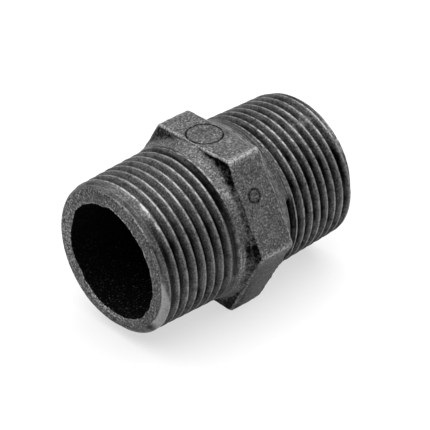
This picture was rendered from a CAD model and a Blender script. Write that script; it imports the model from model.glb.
"""Looks of a hex nipple, R 1 x R 1: one black malleable iron casting with machined threads.

The casting's surface is one closed mesh. It is laid out on a grid that goes round the bore in
columns and along it in rings: round the front end face, over the front thread, the shoulder, the
hexagon and the rear thread, round the rear end face and back through the bore. Over the threads
the grid is sheared to follow the helix, so crests and roots lie on lines of the mesh.

Dimensions are millimetres until the mesh is made. X runs along the bore from the front end to
the rear, and +Z is up. Angles called phi are in radians about +X from +Y. Angles called clock are
in degrees, from -180 to 180, as seen from the front end: 90 is the upper flat, 0 is the corner on
the right, and negative angles are the underside.

Constants whose names end in FROM or UP_TO are pairs for smoothstep: what they describe is absent
at the first value and full at the second.
"""

import bpy
import numpy as np
from mathutils import Matrix, Vector


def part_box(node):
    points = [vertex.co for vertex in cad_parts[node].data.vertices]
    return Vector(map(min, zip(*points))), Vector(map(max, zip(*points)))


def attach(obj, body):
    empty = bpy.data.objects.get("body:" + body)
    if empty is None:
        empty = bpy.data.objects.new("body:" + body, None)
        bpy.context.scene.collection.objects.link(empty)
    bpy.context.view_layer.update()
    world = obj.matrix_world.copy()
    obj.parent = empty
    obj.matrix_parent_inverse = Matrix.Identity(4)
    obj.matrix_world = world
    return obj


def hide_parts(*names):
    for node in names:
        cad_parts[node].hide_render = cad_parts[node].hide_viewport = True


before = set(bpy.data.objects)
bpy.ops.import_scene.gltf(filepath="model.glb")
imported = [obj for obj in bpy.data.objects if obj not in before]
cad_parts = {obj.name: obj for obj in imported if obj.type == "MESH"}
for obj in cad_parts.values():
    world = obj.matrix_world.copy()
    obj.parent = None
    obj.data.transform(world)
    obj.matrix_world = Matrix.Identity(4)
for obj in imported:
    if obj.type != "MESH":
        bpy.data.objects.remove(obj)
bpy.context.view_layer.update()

MM = 0.001
LOWEST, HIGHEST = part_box("nipple_body")

# ---- The casting ----
HALF_LENGTH = (HIGHEST.x - LOWEST.x) / 2 / MM
FLAT_RADIUS = (HIGHEST.z - LOWEST.z) / 2 / MM
CORNER_REACH = (HIGHEST.y - LOWEST.y) / 2 / MM
HALF_HEX = 4.25
FILLET = 0.6
SHOULDER_RADIUS = 17.8
SHOULDER_FOOT = 7.8
SHOULDER_SOFTNESS = 0.3
FACE_RADIUS = 15.4
CHAMFER_SOFTNESS = 0.05
BORE_RADIUS = 12.3
BORE_EDGE = 0.15

# Each side of the hexagon: the clock angle it faces, and how far it stands proud of FLAT_RADIUS.
SIDES = ((90, 0), (30, 0), (-27.9, 0.36), (-90, 0), (-150, 0), (150, 0))
SHARP_REACH = FLAT_RADIUS / np.cos(np.pi / 6)
CORNER_SHARPNESS = np.log(2) / np.log(SHARP_REACH / CORNER_REACH)

# The corner to the right of the upper flat stands proud: how far, its clock angle and its width.
PROUD_CORNER = (0.3, 60, 7)

# The mouth of the bore is out of round: how far, at which clock angle, and over what width.
MOUTH_SHAPE = ((0.5, -52, 25), (-0.75, 48, 38), (-0.35, -132, 22))
MOUTH_FROM = (-12, -HALF_LENGTH)

# Unevenness in layers of noise: height, size of a lump, seed.
MOUTH_RAGS = ((0.28, 2.4, 21), (0.14, 0.9, 22))
SKIN_LUMPS = ((0.06, 0.8, 11), (0.06, 1.9, 12), (0.07, 5.5, 13))
FACE_LUMP_HEIGHT, FACE_LUMP_SIZE, FACE_LUMP_SEED = 0.07, 1.1, 14
PIP_LUMP_SIZE, PIP_LUMP_SEED = 0.9, 15
STREAK_SIZE, STREAK_SEED, STREAK_STRETCH = 0.7, 31, 3

# ---- Cast marks ----
# The roundel is a plain ring on the upper flat, and marks nothing below ROUNDEL_FLOOR. The pip is a
# small plain ring on the flat to the right of it.
ROUNDEL_CENTRE = (0.0, 1.0)
ROUNDEL_RADIUS = 3.8
ROUNDEL_DEPTH = 0.18
ROUNDEL_GROOVE = 0.3
ROUNDEL_FLOOR = 17.5
PIP_CENTRE = (-0.8, -14.6, 10.8)
PIP_RADIUS = 1.4
PIP_DEPTH = 0.3
PIP_GROOVE = 0.4

# ---- The thread, R 1 ----
PITCH = 25.4 / 11
GAUGE_RADIUS = 33.249 / 2
GAUGE_LENGTH = 10.39
TAPER = 1 / 16
THREAD_DEPTH = PITCH / 3 / np.tan(np.radians(27.5))
THREAD_SKEW = 0.16

# Across a groove, in pitches from its middle: where a flank reaches the crest, and its width.
FLANK_END = 0.392
FLANK_SPAN = 1 / 3
ROOT_SOFTNESS = 0.12
CREST_SOFTNESS = 0.06

# Where the middle of each groove passes clock 0, and the clock angle where the groove starts.
FRONT_GROOVE = -8.31
REAR_GROOVE = 7.64
FRONT_START = 34.0
REAR_START = 24.0
RUNOUT_ANGLE = 4.0

# The front groove is faint for a stretch before its start, in degrees along it from there. It is
# shallow over the top of its last turn, between clock angles that go on past 180.
FAINT_DEPTH = 0.4
FAINT_FROM = (-58, -20)
LAST_TURN = 7
LAST_TURN_LOSS = 0.62
SHALLOW_FROM = (42, 60)
SHALLOW_UP_TO = (260, 200)

# ---- The grid ----
# Columns are closer together at the corners of the hexagon.
COLUMNS = 312
CORNER_CROWDING = 0.25

# The rows over one pitch, from the middle of a crest, closer together at the sides of the root.
# A row is joined to the ring at the end of the thread where it comes nearer to it than SNAP.
PITCH_ROWS = np.array([0, 1.2, 2.4, 3.6, 4.74, 5, 6, 7, 7.26, 8.4, 9.6, 10.8]) / 12
SNAP = 0.06

# Where the front thread's rows end and the rear thread's start, and the rows on the necks between
# there and the hexagon.
FRONT_GRID_END = -7.2
REAR_GRID_START = 6.1
FRONT_NECK_ROWS = 13
REAR_NECK_ROWS = 8
FLAT_ROWS = 31
BORE_RINGS = 22
FACE_SHARES = np.linspace(0, 1, 7)

# Rings up each end face of the hexagon, each with its share of the face's height and of its dirt,
# and then the angles of the rings over the rounded edge. The edge's radius is a share of the
# height, but no less and no more than its two limits.
END_RINGS = ((0.12, 0.45), (0.35, 0.85), (0.6, 1), (0.8, 1))
EDGE_ANGLES = (90, 68, 45, 22)
EDGE_SHARE = 0.75
EDGE_LIMITS = (0.12, 0.6)

# Where each stretch of the skin lies on the unrolled map, from 0 to 1, and how long it is.
FRONT_FACE_MAP = 0.02
REAR_FACE_MAP = 0.8
FACE_SPAN = 0.05
HEXAGON_MAP = 0.36
HEXAGON_SPAN = 0.16
BORE_MAP = 0.86
BORE_SPAN = 0.13

# The mesh's materials, by their place in its list.
CAST, THREAD, END_FACE, BORE = range(4)

# ---- Wear and dirt on the threads ----
# Across a groove, in pitches from its middle.
CREST_FROM = (0.4, 0.41)
CREST_LINE_FROM = (0.43, 0.49)
FLANK_FROM = (0.15, 0.4)
FILM_UP_TO = (0.42, 0.25)
VALLEY_UP_TO = (0.46, 0.3)

# Of the groove's full depth: the least that counts as cut, and where its root is black.
CUT = 0.05
ROOT_FROM = (0.4, 0.8)

# Places along the bore. The first crest of the front thread is knocked at these clock angles, over
# these widths. The chamfer in front of it is scraped as far as an edge that slants.
FIRST_CREST_FROM = (-22.8, -23.2)
KNOCK_PLACE = -23.7
KNOCK_LENGTH = 0.3
KNOCKS = ((65, 3), (56, 4), (48, 2.5))
SCRAPE_EDGE = -24.4
SCRAPE_SLANT = 1.7
SCRAPE_FADE = 2.2
SMUDGE_FROM = (17, 19)
SMUDGE_UP_TO = (25, 23)
REAR_NICKS_FROM = (25.0, 25.5)
REAR_DENTS_FROM = (24.9, 25.6)


# ---------------------------------------------------------------- shapes of the casting

def smoothstep(low, high, value):
    t = np.clip((value - low) / (high - low), 0, 1)
    return t * t * (3 - 2 * t)


def bump_at(value, middle, width):
    """1 at the middle, falling to 0 on both sides of it."""
    return np.exp(-(((value - middle) / width) ** 2))


def between(value, low, high, softness):
    """1 between low and high and 0 outside them, with soft ends."""
    rise = smoothstep(low - softness, low + softness, value)
    return rise * smoothstep(high + softness, high - softness, value)


def soft_positive(value, softness):
    """max(value, 0) with its corner rounded."""
    return (value + np.sqrt(value * value + softness * softness)) / 2


def lattice_noise(points, size, seed):
    """Smooth noise from -1 to 1 whose lumps are about size across."""
    table = np.random.default_rng(seed).uniform(-1, 1, (32, 32, 32))
    scaled = points / size + 1000
    cell = np.floor(scaled).astype(int)
    blend = scaled - cell
    blend = blend * blend * (3 - 2 * blend)
    total = np.zeros(len(points))
    for corner in np.ndindex(2, 2, 2):
        weight = np.prod(np.where(corner, blend, 1 - blend), axis=1)
        total += weight * table[tuple(((cell + corner) % 32).T)]
    return total


def layered_noise(points, layers):
    return sum(height * lattice_noise(points, size, seed) for height, size, seed in layers)


def clock_angle(phi):
    """Degrees from -Y towards +Z, from -180 to 180: 90 is the upper flat."""
    return (360 - np.degrees(phi)) % 360 - 180


def crest_radius(x):
    from_end = HALF_LENGTH - np.abs(x)
    return GAUGE_RADIUS + (from_end - GAUGE_LENGTH) * TAPER / 2


SHOULDER_RISE = (SHOULDER_RADIUS - crest_radius(HALF_HEX)) / (SHOULDER_FOOT - HALF_HEX)


def turned_radius(x):
    """Radius of a spigot and its shoulder before the thread is cut."""
    past_foot = soft_positive(SHOULDER_FOOT - np.abs(x), SHOULDER_SOFTNESS)
    return crest_radius(x) + past_foot * SHOULDER_RISE


def thread_skew(phi):
    """The threads are cut a little out of square: how far they lie towards +X at an angle."""
    return THREAD_SKEW * np.cos(np.radians(clock_angle(phi)))


def groove_place(x, phi):
    """How far a point is from the middle of the nearest groove, in pitches, and the angle
    along that groove from where it starts beside the hexagon, in degrees."""
    turn = clock_angle(phi) / 360
    square_x = x - thread_skew(phi)
    front = (FRONT_GROOVE - square_x) / PITCH - turn
    rear = (square_x - REAR_GROOVE) / PITCH + turn
    front_turn = np.round(front)
    rear_turn = np.round(rear)
    offset = np.where(x < 0, front - front_turn, rear - rear_turn)
    along = np.where(
        x < 0,
        360 * (front_turn + turn) - FRONT_START,
        360 * (rear_turn - turn) + REAR_START,
    )
    return np.abs(offset), along


def groove_strength(x, along):
    """1 where the groove is cut to its full depth and 0 before it starts. The front groove is
    faint before its start, and shallow over the top of its last turn."""
    last_turn = along + FRONT_START - 360 * LAST_TURN
    shallow = smoothstep(*SHALLOW_FROM, last_turn) * smoothstep(*SHALLOW_UP_TO, last_turn)
    shallow = np.where(x < 0, shallow, 0)
    faint = np.where(x < 0, FAINT_DEPTH * smoothstep(*FAINT_FROM, along), 0)
    started = faint + (1 - faint) * smoothstep(0, RUNOUT_ANGLE, along)
    return started * (1 - LAST_TURN_LOSS * shallow)


def cut_depth(x, phi):
    """How deep the thread groove is below the turned surface."""
    distance, along = groove_place(x, phi)
    flank = crest_radius(x) - THREAD_DEPTH * (FLANK_END - distance) / FLANK_SPAN
    root = crest_radius(x) - THREAD_DEPTH
    groove = root + soft_positive(flank - root, ROOT_SOFTNESS)
    depth = soft_positive(turned_radius(x) - groove, CREST_SOFTNESS)
    return depth * groove_strength(x, along)


def spigot_radius(x, phi):
    """Radius of a spigot with its thread cut and its end chamfered."""
    chamfer = FACE_RADIUS + HALF_LENGTH - np.abs(x)
    radius = turned_radius(x) - cut_depth(x, phi)
    return chamfer - soft_positive(chamfer - radius, CHAMFER_SOFTNESS)


def hex_radius(phi):
    """The hexagon with soft corners, one of them a little proud."""
    clock = clock_angle(phi)
    total = 0
    for facing, proud in SIDES:
        nearness = np.maximum(np.cos(np.radians(clock - facing)), 0) / (FLAT_RADIUS + proud)
        total = total + nearness**CORNER_SHARPNESS
    height, middle, width = PROUD_CORNER
    return total ** (-1 / CORNER_SHARPNESS) + height * bump_at(clock, middle, width)


def bore_radius(x, phi):
    """The cored hole, uneven round its front mouth."""
    clock = clock_angle(phi)
    uneven = sum(out * bump_at(clock, middle, width) for out, middle, width in MOUTH_SHAPE)
    rim = BORE_RADIUS * np.column_stack([np.cos(phi), np.sin(phi), 0 * phi])
    near_mouth = smoothstep(*MOUTH_FROM, x)
    return BORE_RADIUS + uneven * near_mouth + layered_noise(rim, MOUTH_RAGS) * near_mouth**3


# ---------------------------------------------------------------- the mesh

class Skin:
    """Vertices and faces of the casting, gathered ring by ring."""

    def __init__(self):
        place = 2 * np.pi * np.arange(COLUMNS) / COLUMNS
        self.phi = place - CORNER_CROWDING * np.sin(6 * place) / 6
        self.rows = []
        self.count = 0
        self.faces = []
        self.face_uvs = []
        self.face_zones = []

    def add(self, x, radius, phi, along, **facts):
        """Adds vertices. along is their place along the unrolled skin, from 0 to 1. The facts say
        how worn, dirty (deep) and plain they are, and how much of the casting's unevenness they
        take outwards (lumps) and along the bore (face_lumps)."""
        shape = np.broadcast(x, radius, phi).shape
        row = {"x": x, "radius": radius, "phi": phi, "along": along}
        row |= {"worn": 0.0, "deep": 0.0, "plain": 0.0, "lumps": 0.0, "face_lumps": 0.0} | facts
        self.rows.append({k: np.broadcast_to(v, shape).astype(float) for k, v in row.items()})
        ids = self.count + np.arange(shape[0])
        self.count += shape[0]
        return ids

    def ring(self, x, radius, along, **facts):
        ids = self.add(x + 0 * self.phi, radius + 0 * self.phi, self.phi, along, **facts)
        return {"ids": ids, "along": along}

    def face(self, corners, zone):
        """corners is [(vertex, column, along), ...]; repeated vertices are dropped."""
        kept = []
        for corner in corners:
            if not kept or corner[0] != kept[-1][0]:
                kept.append(corner)
        if kept[0][0] == kept[-1][0]:
            kept.pop()
        if len(kept) < 3:
            return
        self.faces.append([corner[0] for corner in kept])
        self.face_uvs.extend((corner[1] / COLUMNS, corner[2]) for corner in kept)
        self.face_zones.append(zone)

    def strip(self, first, second, zone):
        for i in range(COLUMNS):
            j = (i + 1) % COLUMNS
            self.face(
                [
                    (first["ids"][i], i, first["along"]),
                    (first["ids"][j], i + 1, first["along"]),
                    (second["ids"][j], i + 1, second["along"]),
                    (second["ids"][i], i, second["along"]),
                ],
                zone,
            )

    def joined(self, rings, zone):
        for first, second in zip(rings, rings[1:]):
            self.strip(first, second, zone)

    def helical(self, low, high, low_x, high_x, groove_x):
        """The thread between two rings, on rows that climb one pitch in each turn."""
        first_pitch = int(np.floor((low_x - groove_x) / PITCH)) - 1
        last_pitch = int(np.ceil((high_x - groove_x) / PITCH)) + 1
        pitches = np.arange(first_pitch, last_pitch)
        starts = (groove_x + PITCH * (pitches[:, None] + PITCH_ROWS[None, :])).ravel()
        x = starts[:, None] + PITCH * self.phi[None, :] / (2 * np.pi) + thread_skew(self.phi)
        below = x <= low_x + SNAP
        above = x >= high_x - SNAP
        inside = ~(below | above)
        ids = np.where(below, low["ids"][None, :], high["ids"][None, :])
        share = np.clip((x - low_x) / (high_x - low_x), 0, 1)
        along = low["along"] + share * (high["along"] - low["along"])
        along = np.where(below, low["along"], along)
        along = np.where(above, high["along"], along)
        inner_x = x[inside]
        inner_phi = np.broadcast_to(self.phi, x.shape)[inside]
        radius = spigot_radius(inner_x, inner_phi)
        facts = thread_facts(inner_x, inner_phi)
        ids[inside] = self.add(inner_x, radius, inner_phi, along[inside], **facts)
        last_row = len(starts) - 1

        def corner(row, column):
            if column == COLUMNS:
                row += len(PITCH_ROWS)
            if row > last_row:
                return (high["ids"][column % COLUMNS], column, high["along"])
            return (ids[row, column % COLUMNS], column, along[row, column % COLUMNS])

        for row in range(last_row):
            for i in range(COLUMNS):
                corners = [corner(row, i), corner(row, i + 1)]
                corners += [corner(row + 1, i + 1), corner(row + 1, i)]
                self.face(corners, THREAD)


# ---------------------------------------------------------------- wear and dirt

def crest_wear(x, clock, distance, along):
    """Crests that have lost their blackening: most of it high on the right, where the nipple has
    rubbed, and in a narrow line along the middle of each crest."""
    rubbed = 0.33 + 0.47 * bump_at(clock, 65, 24)
    edges = 0.3 + 0.3 * between(clock, -160, 62, 15)
    across = edges + (1 - edges) * smoothstep(*CREST_LINE_FROM, distance)
    across = across * smoothstep(*CREST_FROM, distance)
    first_crest = 1 + 0.9 * smoothstep(*FIRST_CREST_FROM, x) * between(clock, 55, 160, 10)
    crest = across * smoothstep(-20, 0, along) * rubbed * first_crest
    return crest * smoothstep(0.85, 1.1, HALF_LENGTH - np.abs(x)) * np.where(x > 0, 1.15, 1.0)


def knock_wear(x, clock):
    """Bright knocks on the first crest of the front thread."""
    knocks = sum(bump_at(clock, middle, width) for middle, width in KNOCKS)
    return 2.0 * (knocks * bump_at(x, KNOCK_PLACE, KNOCK_LENGTH))


def smudge(x, clock):
    """A rubbed patch near the end of the rear thread."""
    return bump_at(clock, 70, 5) * smoothstep(*SMUDGE_FROM, x) * smoothstep(*SMUDGE_UP_TO, x)


def scuffs(x, clock):
    """Rough bright streaks where the front thread starts. The long one slants."""
    long = bump_at(x + 0.03 * clock, -7.0, 0.2) * bump_at(clock, -3, 16)
    short = bump_at(x, -6.15, 0.2) * bump_at(clock, -4, 7)
    return long + 0.7 * short


def scrape(x, clock):
    """The front chamfer scraped to plain metal, low on the right."""
    edge = SCRAPE_EDGE - SCRAPE_SLANT * smoothstep(-30, 12, clock)
    scraped = between(clock, -40, 10, 5) * smoothstep(0, 0.35, edge - x)
    return scraped * np.clip(1 - (x + HALF_LENGTH) / SCRAPE_FADE, 0.3, 1)


def thread_streaks(x, along):
    """Noise from -1 to 1, drawn out along the groove."""
    arc = np.radians(along) * GAUGE_RADIUS
    unrolled = np.column_stack([arc / STREAK_STRETCH, x, 0 * x])
    return lattice_noise(unrolled, STREAK_SIZE, STREAK_SEED)


def groove_film(x, clock, distance, along, depth):
    """Oily dirt on the roots and flanks: less over the top of the nipple, more underneath."""
    upper = bump_at(clock, 82, 28) * smoothstep(9, 15, np.abs(x))
    grime = 0.88 + 0.12 * bump_at(clock, 25, 20) - 0.5 * upper
    from_end = HALF_LENGTH - np.abs(x)
    root = smoothstep(*ROOT_FROM, depth) * smoothstep(1.2, 3.0, from_end) * grime
    cleaner = np.where(x < 0, 0.45, 0.05) * upper
    under = between(clock, -150, -8, 20)
    film = np.where(x < 0, 0.55, 0.7) - cleaner + 0.3 * under + 0.15 * bump_at(clock, 32, 14)
    film = film * (1 + 0.45 * thread_streaks(x, along)) * smoothstep(*FILM_UP_TO, distance)
    return np.maximum(root, film * (depth > CUT))


def start_dirt(x, distance, along):
    """The black start of each groove. It goes further along, and across, the rear one."""
    fading = np.where(x < 0, smoothstep(80, 25, along), smoothstep(125, 60, along))
    reach = np.where(x < 0, 0.43, 0.48)
    return 0.96 * fading * smoothstep(-6, 4, along) * smoothstep(0, 0.07, reach - distance)


def valley_dirt(x, distance, along):
    """Dirt in the faint groove before the front groove's start."""
    valley = smoothstep(*VALLEY_UP_TO, distance)
    valley = valley * smoothstep(8, 2, along) * smoothstep(-70, -40, along)
    return valley * (0.74 + 0.2 * bump_at(along, 0, 6)) * (x < 0)


def underside_dirt(x, clock):
    """Dirt between the front thread and the hexagon, low on the right."""
    low = between(clock, -140, -20, 7) * (x < 0)
    return low * (0.9 * bump_at(x, -9.4, 1.1) + 0.4 * smoothstep(-9, -8, x))


def thread_dirt(x, clock, distance, along, depth):
    """How black the thread is beyond its start, from 0 to 1."""
    shaded = 0.83 * between(clock, -140, -17, 12) * smoothstep(-25.2, -24, x)
    stained = 0.42 * bump_at(clock, 95, 16) * (x > 0)
    chamfer = 0.4 * smoothstep(-25.4, -25.8, x) * bump_at(clock, 62, 40)
    film = groove_film(x, clock, distance, along, depth)
    valley = valley_dirt(x, distance, along)
    below = underside_dirt(x, clock)
    return np.max([film, valley, shaded, stained, chamfer, below], axis=0)


def thread_facts(x, phi):
    """Where the thread is worn bright, black and scraped plain, and how lumpy it is."""
    distance, along = groove_place(x, phi)
    clock = clock_angle(phi)
    depth = cut_depth(x, phi) / THREAD_DEPTH
    start = start_dirt(x, distance, along)
    crest = crest_wear(x, clock, distance, along) * (1 - 0.8 * start)
    flank = 0.2 * smoothstep(*FLANK_FROM, distance) * (depth > CUT)
    battered = between(clock, 5, 62, 9)
    nicks = 0.7 * smoothstep(*REAR_NICKS_FROM, x) * battered
    rubs = [crest, flank, knock_wear(x, clock), 0.4 * smudge(x, clock), nicks, scuffs(x, clock)]
    return {
        "worn": np.max(rubs, axis=0),
        "deep": np.maximum(start, thread_dirt(x, clock, distance, along, depth)),
        "plain": scrape(x, clock),
        "lumps": 0.4 + 3.0 * smoothstep(*REAR_DENTS_FROM, x) * battered,
    }


def front_dirt(clock):
    """How black the hexagon's front end face is, from 0 to 1: blackest at three corners."""
    upper_corner = 0.75 * bump_at(clock, 68, 21)
    right_corner = 0.5 * bump_at(clock, 2, 15)
    lower_corner = 0.75 * bump_at(clock, -60, 24)
    corners = upper_corner + right_corner + lower_corner
    return np.minimum(0.28 + corners + 0.4 * between(clock, 104, 155, 9), 1)


def shoulder_dirt(x, clock):
    """How dirty the front shoulder is; x is how far a point is from the middle of the nipple."""
    far_side = 0.72 * between(clock, 103, 130, 8) * smoothstep(6.2, 4.6, x) ** 2
    near_side = 0.62 * between(clock, -30, 53, 8) * smoothstep(6.3, 4.9, x)
    strip = 0.85 * bump_at(clock, 52, 11) * smoothstep(5.5, 4.9, x)
    corner = 0.85 * bump_at(clock, 3, 10) * smoothstep(6.4, 5.7, x)
    below = 0.55 * bump_at(clock, -9, 7) * smoothstep(6.1, 5.5, x)
    return np.max([far_side, near_side, strip, corner, below, underside_dirt(-x, clock)], axis=0)


def no_dirt(x, clock):
    return 0 * clock


def sandy(x, clock):
    """Bright clumps of grain on the front shoulder, and its scuffs."""
    clumps = 0.05 + 0.2 * bump_at(clock, 72, 9) + 0.5 * bump_at(clock, 46, 8)
    clumps = clumps * bump_at(x, -6.4, 0.8) * between(clock, -160, 96, 4)
    return np.maximum(clumps, scuffs(x, clock))


def front_edge_wear(clock):
    """Wear along the front edge of the hexagon, most at the tip beside the upper flat."""
    tip = 1.4 * bump_at(clock, 60, 3.5)
    upper = 0.85 * between(clock, 59, 122, 3)
    lower = 0.45 * bump_at(clock, 0, 7)
    return np.max([tip, upper, lower, 0.12 + 0 * clock], axis=0)


def rear_edge_wear(clock):
    return 0.8 + 0.5 * bump_at(clock, 32, 22)


def corner_wear(clock):
    """Wear along the edges between the sides of the hexagon, which lie at every 60 degrees."""
    from_edge = (clock + 30) % 60 - 30
    worn = (0.6 + 0.3 * bump_at(clock, 0, 9)) * bump_at(from_edge, 0, 1.5)
    return np.maximum(worn, 0.9 * bump_at(clock, 60, 1.9))


def flat_dirt(clock, place):
    """Shade on the lower flats. place goes from -1 at the front edge of the hexagon to 1 at the
    rear one."""
    shade = 0.5 * between(clock, -110, -10, 6) * smoothstep(0.7, -0.9, place)
    return shade + 0.25 * between(clock, -110, -32, 12) * smoothstep(-0.2, -1, place)


# ---------------------------------------------------------------- the skin, stretch by stretch

def hexagon_rings(skin, front_foot):
    """From the front thread over the shoulders and the sides of the hexagon to the rear one."""
    phi = skin.phi
    clock = clock_angle(phi)
    hexagon = hex_radius(phi)
    shoulder_top = HALF_HEX + FILLET
    top_radius = turned_radius(shoulder_top)
    edge = np.clip(EDGE_SHARE * (hexagon - top_radius), *EDGE_LIMITS)
    height = hexagon - edge - top_radius
    pocket = smoothstep(0.0, 0.3, height)
    ragged = between(clock, -37, 56, 7)

    def end_side(sign, foot, rows, dirt, grime, edge_wear):
        """Rings from the thread's boundary to the upper edge of the hexagon's end face."""
        places = []
        for x in np.linspace(foot, shoulder_top, rows)[1:]:
            nearness = smoothstep(foot - 1.2, shoulder_top, x)
            deep = np.maximum(0.3 * pocket * dirt * nearness**8, grime(x, clock))
            worn = sandy(x * sign, clock) if sign < 0 else 0.2
            places.append((x, turned_radius(x) + 0 * phi, worn, deep, 1.0))
        for share, blackness in END_RINGS:
            x = HALF_HEX + FILLET * (1 - share) ** 2
            deep = np.maximum(pocket * dirt * blackness, grime(x, clock))
            places.append((x, top_radius + height * share, 0.0, deep, 1.0))
        for turn in np.radians(EDGE_ANGLES):
            x = HALF_HEX - edge * (1 - np.sin(turn))
            worn = np.sin(2 * turn) * edge_wear
            # Of these rings, only the one where the edge meets the end face is as dirty as the face.
            deep = pocket * dirt * (turn > 1.5)
            places.append((x, hexagon - edge * (1 - np.cos(turn)), worn, deep, 1 + 1.2 * ragged))
        return [(sign * place[0], *place[1:]) for place in places]

    front = end_side(-1, -FRONT_GRID_END, FRONT_NECK_ROWS, front_dirt(clock), shoulder_dirt,
                     front_edge_wear(clock))
    rear = end_side(1, REAR_GRID_START, REAR_NECK_ROWS, 0.5, no_dirt, rear_edge_wear(clock))
    flats = []
    for place in np.linspace(-1, 1, FLAT_ROWS):
        x = (HALF_HEX - edge) * place
        flats.append((x, hexagon, corner_wear(clock), flat_dirt(clock, place), 1.0))
    smooth_side = between(clock, -61, -6, 3)
    rings = [front_foot]
    places = front + flats + rear[::-1]
    for number, (x, radius, worn, deep, lumps) in enumerate(places):
        along = HEXAGON_MAP + HEXAGON_SPAN * (number + 1) / (len(places) + 1)
        # The rear neck is machined, so it is smoother.
        if number >= len(places) - REAR_NECK_ROWS:
            lumps = 0.5
        plain = smooth_side * (abs(x) < HALF_HEX - 0.3)
        rings.append(skin.ring(x, radius, along, worn=worn, deep=deep, plain=plain, lumps=lumps,
                               face_lumps=lumps))
    rear_foot = spigot_radius(REAR_GRID_START + 0 * phi, phi)
    rings.append(skin.ring(REAR_GRID_START, rear_foot, HEXAGON_MAP + HEXAGON_SPAN, lumps=0.4))
    return rings


def end_face_rings(skin, sign, low_along):
    """Rings of an end face, from the mouth of the bore outwards."""
    x = sign * HALF_LENGTH
    mouth = bore_radius(x, skin.phi) + BORE_EDGE
    outer = spigot_radius(x + 0 * skin.phi, skin.phi)
    clock = clock_angle(skin.phi)
    bright_rim = 0.35 + 0.6 * bump_at(clock, -105, 30) + 0.5 * bump_at(clock, 70, 25)
    bright_band = 0.75 * bump_at(clock, -100, 26)
    left_side = 0.3 * bump_at((clock + 360) % 360, 180, 45)
    outer_specks = 0.95 * bump_at(clock, 66, 32)
    rings = []
    for share in FACE_SHARES:
        rim = bright_rim * (share == 0)
        band = bright_band * (share < 0.5)
        specks = outer_specks * (share > 0.9)
        rings.append(skin.ring(x, mouth + (outer - mouth) * share, low_along + FACE_SPAN * share,
                               worn=np.max([rim, band, specks, left_side], axis=0), face_lumps=0.5))
    return rings


def bore_rings(skin, rear_mouth):
    """The bore, from the rear to the front, dusty along its floor near the front."""
    phi = skin.phi
    inner = HALF_LENGTH - BORE_EDGE
    rings = [rear_mouth]
    for share in np.linspace(0, 1, BORE_RINGS):
        x = inner * np.cos(np.pi * share)
        dusty = bump_at(clock_angle(phi), -90, 45) * smoothstep(10, -15, x)
        rings.append(skin.ring(x, bore_radius(x, phi), BORE_MAP + BORE_SPAN * share, worn=dusty,
                               lumps=1.6))
    return rings


def casting_skin():
    skin = Skin()
    front_face = end_face_rings(skin, -1, FRONT_FACE_MAP)
    skin.joined(front_face, END_FACE)

    foot_radius = spigot_radius(FRONT_GRID_END + 0 * skin.phi, skin.phi)
    front_foot = skin.ring(FRONT_GRID_END, foot_radius, HEXAGON_MAP, lumps=1.0)
    skin.helical(front_face[-1], front_foot, -HALF_LENGTH, FRONT_GRID_END, FRONT_GROOVE - PITCH / 2)

    middle = hexagon_rings(skin, front_foot)
    skin.joined(middle[:-REAR_NECK_ROWS], CAST)
    skin.joined(middle[-REAR_NECK_ROWS - 1:], THREAD)

    rear_face = end_face_rings(skin, 1, REAR_FACE_MAP)[::-1]
    skin.helical(middle[-1], rear_face[0], REAR_GRID_START, HALF_LENGTH, REAR_GROOVE - PITCH / 2)
    skin.joined(rear_face, END_FACE)

    bore = bore_rings(skin, rear_face[-1])
    skin.joined(bore, BORE)
    skin.strip(bore[-1], dict(front_face[0], along=1.0), BORE)
    return skin


def sunk_marks(points):
    """How far the roundel's ring and the pip lie below the sides they are cast in."""
    x, y, z = points.T
    from_roundel = np.hypot(x - ROUNDEL_CENTRE[0], y - ROUNDEL_CENTRE[1])
    ring = ROUNDEL_DEPTH * bump_at(from_roundel, ROUNDEL_RADIUS, ROUNDEL_GROOVE)
    ring = ring * (z > ROUNDEL_FLOOR)
    from_pip = np.linalg.norm(points - np.array(PIP_CENTRE), axis=1)
    pip = PIP_DEPTH * bump_at(from_pip, PIP_RADIUS, PIP_GROOVE)
    return ring + pip * (0.8 + 0.6 * lattice_noise(points, PIP_LUMP_SIZE, PIP_LUMP_SEED))


def casting_object():
    skin = casting_skin()
    rows = {k: np.concatenate([row[k] for row in skin.rows]) for k in skin.rows[0]}
    across = np.stack([np.cos(rows["phi"]), np.sin(rows["phi"])], axis=1)
    base = np.column_stack([rows["x"], across * rows["radius"][:, None]])
    radius = rows["radius"] + rows["lumps"] * layered_noise(base, SKIN_LUMPS) - sunk_marks(base)
    face_noise = lattice_noise(base, FACE_LUMP_SIZE, FACE_LUMP_SEED)
    x = rows["x"] + rows["face_lumps"] * FACE_LUMP_HEIGHT * face_noise
    points = np.column_stack([x, across * radius[:, None]])
    points *= MM

    mesh = bpy.data.meshes.new("hex_nipple")
    mesh.from_pydata(points.tolist(), [], skin.faces)
    mesh.polygons.foreach_set("material_index", skin.face_zones)
    mesh.polygons.foreach_set("use_smooth", [True] * len(skin.faces))
    layer = mesh.uv_layers.new(name="OFBake")
    layer.data.foreach_set("uv", np.array(skin.face_uvs, dtype=np.float32).ravel())
    for name in ("worn", "deep", "plain"):
        attribute = mesh.attributes.new(name, "FLOAT", "POINT")
        attribute.data.foreach_set("value", rows[name].astype(np.float32))
    mesh.update()
    piece = bpy.data.objects.new("hex_nipple", mesh)
    bpy.context.scene.collection.objects.link(piece)
    return piece


# ---------------------------------------------------------------- materials

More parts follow.
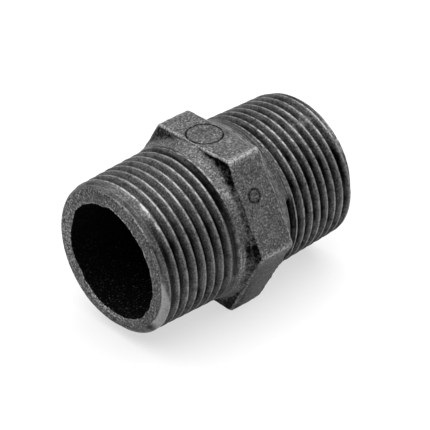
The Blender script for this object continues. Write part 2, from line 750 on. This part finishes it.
class Graph:
    """A short way to write a material's nodes."""

    def __init__(self, name):
        self.material = bpy.data.materials.new(name)
        self.material.use_nodes = True
        self.nodes = self.material.node_tree.nodes
        self.links = self.material.node_tree.links
        self.nodes.clear()
        self.output = self.nodes.new("ShaderNodeOutputMaterial")
        self.shader = self.nodes.new("ShaderNodeBsdfPrincipled")
        self.links.new(self.shader.outputs[0], self.output.inputs["Surface"])
        self.place = self.nodes.new("ShaderNodeTexCoord").outputs["Object"]

    def set_input(self, socket, value):
        if isinstance(value, bpy.types.NodeSocket):
            self.links.new(value, socket)
        else:
            socket.default_value = value

    def attribute(self, name):
        node = self.nodes.new("ShaderNodeAttribute")
        node.attribute_name = name
        return node.outputs["Fac"]

    def math(self, operation, first, second=0.0, clamp=False):
        node = self.nodes.new("ShaderNodeMath")
        node.operation = operation
        node.use_clamp = clamp
        self.set_input(node.inputs[0], first)
        self.set_input(node.inputs[1], second)
        return node.outputs[0]

    def noise(self, size_mm, detail=2.0, stretch=(1, 1, 1)):
        """Noise with lumps about size_mm across, drawn out along an axis by its stretch."""
        mapping = self.nodes.new("ShaderNodeMapping")
        self.links.new(self.place, mapping.inputs["Vector"])
        mapping.inputs["Scale"].default_value = [1 / (size_mm * MM * s) for s in stretch]
        node = self.nodes.new("ShaderNodeTexNoise")
        node.inputs["Scale"].default_value = 1.0
        node.inputs["Detail"].default_value = detail
        self.links.new(mapping.outputs[0], node.inputs["Vector"])
        return node.outputs["Fac"]

    def ramp(self, value, *stops):
        """Greys at places: each stop is (place, grey)."""
        node = self.nodes.new("ShaderNodeValToRGB")
        ramp = node.color_ramp
        while len(ramp.elements) < len(stops):
            ramp.elements.new(0.5)
        for element, (place, shade) in zip(ramp.elements, stops):
            element.position = place
            element.color = grey(shade)
        self.links.new(value, node.inputs["Fac"])
        return node.outputs["Color"]

    def mix(self, share, first, second):
        node = self.nodes.new("ShaderNodeMix")
        node.data_type = "RGBA"
        self.set_input(node.inputs["Factor"], share)
        self.set_input(node.inputs[6], grey(first))
        self.set_input(node.inputs[7], grey(second))
        return node.outputs[2]

    def rub(self, broken):
        """Where the skin is worn, broken up by noise."""
        return self.math("MULTIPLY", self.attribute("worn"), broken, clamp=True)

    def distance(self, centre, axes=(1, 1, 1)):
        """How far the surface is from a centre in mm, counting only the axes that are 1."""
        reach = self.nodes.new("ShaderNodeVectorMath")
        reach.operation = "DISTANCE"
        place = self.nodes.new("ShaderNodeMapping")
        place.inputs["Scale"].default_value = [axis / MM for axis in axes]
        self.links.new(self.place, place.inputs["Vector"])
        self.links.new(place.outputs[0], reach.inputs[0])
        reach.inputs[1].default_value = centre
        return reach.outputs["Value"]

    def band(self, value, low, high, softness):
        """1 between low and high, with soft edges."""
        edges = []
        for start, end in ((low - softness, low + softness), (high + softness, high - softness)):
            node = self.nodes.new("ShaderNodeMapRange")
            node.interpolation_type = "SMOOTHSTEP"
            self.links.new(value, node.inputs["Value"])
            node.inputs["From Min"].default_value = start
            node.inputs["From Max"].default_value = end
            edges.append(node.outputs["Result"])
        return self.math("MULTIPLY", *edges)

    def dirt(self, deep, speckle):
        """Dirt that is solid where it is deepest and speckled where it is thin."""
        thinned = self.math("MULTIPLY", self.math("SUBTRACT", 1.0, speckle), 0.5)
        return self.math("SUBTRACT", self.math("MULTIPLY", deep, 1.4), thinned, clamp=True)

    def roundel_dirt(self):
        """Dirt held in the roundel's ring, and thinner dirt inside it."""
        separate = self.nodes.new("ShaderNodeSeparateXYZ")
        self.links.new(self.place, separate.inputs[0])
        on_top = self.math("GREATER_THAN", separate.outputs["Z"], ROUNDEL_FLOOR * MM)
        from_centre = self.distance((*ROUNDEL_CENTRE, 0), (1, 1, 0))
        half_width = 0.22
        ring = self.band(from_centre, ROUNDEL_RADIUS - half_width, ROUNDEL_RADIUS + half_width, 0.12)
        broken = self.ramp(self.noise(0.8, 2), (0.36, 0.45), (0.46, 1.0))
        ring = self.math("MULTIPLY", ring, broken)
        inside = self.band(from_centre, -1, ROUNDEL_RADIUS - 1.2, 0.9)
        speckled = self.ramp(self.noise(0.8, 3), (0.48, 0.0), (0.6, 0.9))
        inside = self.math("MULTIPLY", self.math("MULTIPLY", inside, speckled), 0.6)
        return self.math("MULTIPLY", self.math("ADD", ring, inside, clamp=True), on_top)

    def pip_dirt(self):
        """Dirt held in the pip's ring, and thinner dirt inside it."""
        from_centre = self.distance(PIP_CENTRE)
        half_width = 0.28
        rim = self.band(from_centre, PIP_RADIUS - half_width, PIP_RADIUS + half_width, 0.2)
        middle = self.math("MULTIPLY", self.band(from_centre, -1, PIP_RADIUS, 0.3), 0.3)
        pitted = self.ramp(self.noise(0.5, 2), (0.4, 0.55), (0.56, 0.95))
        return self.math("MULTIPLY", self.math("MAXIMUM", rim, middle), pitted)

    def bump(self, height, depth_mm):
        node = self.nodes.new("ShaderNodeBump")
        node.inputs["Distance"].default_value = depth_mm * MM
        self.links.new(height, node.inputs["Height"])
        self.links.new(node.outputs[0], self.shader.inputs["Normal"])

    def finish(self, color, roughness, metallic, specular=0.3):
        self.set_input(self.shader.inputs["Base Color"], color)
        self.set_input(self.shader.inputs["Roughness"], roughness)
        self.set_input(self.shader.inputs["Metallic"], metallic)
        self.shader.inputs["Specular IOR Level"].default_value = specular
        return self.material


def grey(value):
    return value if isinstance(value, bpy.types.NodeSocket) else (value, value, value, 1)


def cast_material():
    """Black iron as cast: a fine speckle over darker and paler clouds."""
    graph = Graph("cast_skin")
    fine = graph.noise(0.38, 4)
    coarse = graph.noise(1.6, 3)
    color = graph.ramp(fine, (0.33, 0.012), (0.5, 0.086), (0.61, 0.17), (0.72, 0.4))
    color = graph.mix(0.25, color, graph.ramp(coarse, (0.3, 0.04), (0.7, 0.16)))
    color = graph.mix(graph.ramp(graph.noise(4.0, 2), (0.4, 0.22), (0.6, 0.0)), color, 0.03)
    color = graph.mix(graph.math("MULTIPLY", graph.attribute("plain"), 0.8), color, 0.058)
    speckle = graph.ramp(graph.noise(0.7, 2), (0.4, 0.0), (0.6, 1.0))
    deep = graph.dirt(graph.attribute("deep"), speckle)
    marks = graph.math("MAXIMUM", graph.roundel_dirt(), graph.pip_dirt())
    deep = graph.math("MAXIMUM", deep, marks)
    color = graph.mix(deep, color, 0.003)
    color = graph.mix(graph.rub(graph.ramp(fine, (0.36, 0.15), (0.56, 1.0))), color, 0.36)
    graph.bump(graph.math("ADD", fine, coarse), 0.2)
    roughness = graph.ramp(fine, (0.3, 0.8), (0.7, 0.5))
    return graph.finish(color, roughness, graph.math("MAXIMUM", deep, 0.45))


def thread_material():
    """Cut iron, blackened: streaks along the cut, and turned lines on the necks."""
    graph = Graph("machined_thread")
    streaks = graph.noise(0.25, 3, (1, 20, 20))
    patches = graph.noise(2.4, 4)
    fine = graph.noise(0.36, 4)
    color = graph.mix(0.5, graph.ramp(streaks, (0.34, 0.015), (0.66, 0.19)),
                      graph.ramp(patches, (0.4, 0.02), (0.6, 0.18)))
    color = graph.mix(0.5, color, graph.ramp(fine, (0.34, 0.005), (0.5, 0.075), (0.64, 0.27)))
    turned_lines = graph.ramp(graph.noise(0.4, 2, (1, 60, 60)), (0.42, 0.75), (0.5, 0.0))
    neck = graph.band(graph.distance((0, 0, 0), (1, 0, 0)), low=4.9, high=8.6, softness=0.3)
    color = graph.mix(graph.math("MULTIPLY", turned_lines, neck), color, 0.01)
    deep = graph.math("MULTIPLY", graph.attribute("deep"), 0.98)
    color = graph.mix(deep, color, 0.001)
    broken = graph.ramp(graph.noise(1.0, 5), (0.4, 0.12), (0.56, 1.0))
    color = graph.mix(graph.rub(broken), color, 0.45)
    grained = graph.ramp(fine, (0.3, 0.6), (0.5, 1.0))
    color = graph.mix(graph.math("MULTIPLY", graph.attribute("plain"), grained), color, 0.34)
    graph.bump(graph.math("ADD", streaks, fine), 0.14)
    roughness = graph.ramp(patches, (0.3, 0.58), (0.7, 0.42))
    return graph.finish(color, roughness, graph.math("MAXIMUM", deep, 0.6))


def end_face_material():
    """Faced iron: a fine speckle, brighter where it is rubbed."""
    graph = Graph("end_face")
    fine = graph.noise(0.4, 3)
    coarse = graph.noise(1.3, 3)
    color = graph.ramp(fine, (0.37, 0.004), (0.5, 0.065), (0.59, 0.13), (0.68, 0.32))
    color = graph.mix(0.3, color, graph.ramp(coarse, (0.36, 0.025), (0.64, 0.13)))
    color = graph.mix(graph.rub(graph.ramp(fine, (0.46, 0.05), (0.58, 1.0))), color, 0.5)
    graph.bump(fine, 0.22)
    return graph.finish(color, graph.ramp(fine, (0.3, 0.7), (0.7, 0.5)), 0.45)


def bore_material():
    """Sooty black, with bright specks where dust has settled."""
    graph = Graph("cored_bore")
    fine = graph.noise(0.36, 3)
    specks = graph.ramp(fine, (0.54, 0.001), (0.63, 0.012), (0.74, 0.12))
    soot = graph.ramp(fine, (0.55, 0.0005), (0.75, 0.02))
    graph.bump(fine, 0.3)
    return graph.finish(graph.mix(graph.attribute("worn"), soot, specks), 0.95, 0.0, specular=0.05)


def floor_material():
    """A pale floor lit from below as well, like a light table, so shadows on it stay faint."""
    graph = Graph("pale_floor")
    graph.shader.inputs["Emission Color"].default_value = grey(1)
    graph.shader.inputs["Emission Strength"].default_value = 0.62
    return graph.finish(grey(0.3), 0.9, 0.0, specular=0.5)


# ---------------------------------------------------------------- the scene

def placed(name, data, place, axes):
    """Links an object at place, in metres, turned so that its axes point along these."""
    item = bpy.data.objects.new(name, data)
    item.matrix_world = Matrix.Translation(place) @ axes
    bpy.context.scene.collection.objects.link(item)
    return item


def camera():
    """The viewing angle: to the front and right of the nipple, looking down on it."""
    azimuth = np.radians(-43.314)
    elevation = np.radians(33.963)
    distance = 451.69
    aside = 1.411
    above = -1.087
    level = np.cos(elevation)
    back = Vector((np.sin(azimuth) * level, -np.cos(azimuth) * level, np.sin(elevation)))
    right = Vector((np.cos(azimuth), np.sin(azimuth), 0))
    up = back.cross(right)
    data = bpy.data.cameras.new("camera")
    data.lens = 183.58
    data.sensor_width = 36
    data.clip_start = 0.01
    place = (back * distance + right * aside + up * above) * MM
    axes = Matrix((right, up, back)).transposed().to_4x4()
    bpy.context.scene.camera = placed("camera", data, place, axes)


def overhead_light():
    """One large soft light above the nipple, aimed at it."""
    data = bpy.data.lights.new("overhead", "AREA")
    data.size = 1.2
    data.energy = 13
    place = Vector((0.02, 0.05, 0.6))
    placed("overhead", data, place, place.to_track_quat("Z", "Y").to_matrix().to_4x4())


def studio():
    world = bpy.data.worlds.new("studio")
    world.use_nodes = True
    background = world.node_tree.nodes["Background"]
    background.inputs["Color"].default_value = grey(1)
    background.inputs["Strength"].default_value = 0.25
    bpy.context.scene.world = world
    bpy.context.scene.view_settings.view_transform = "Standard"
    overhead_light()

    mesh = bpy.data.meshes.new("floor")
    reach = 3.0
    corners = [(-reach, -reach), (reach, -reach), (reach, reach), (-reach, reach)]
    mesh.from_pydata([(x, y, LOWEST.z) for x, y in corners], [], [(0, 1, 2, 3)])
    mesh.materials.append(floor_material())
    floor = bpy.data.objects.new("floor", mesh)
    bpy.context.scene.collection.objects.link(floor)


camera()
studio()
nipple = casting_object()
for material in (cast_material(), thread_material(), end_face_material(), bore_material()):
    nipple.data.materials.append(material)
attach(nipple, "root")
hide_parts("nipple_body")
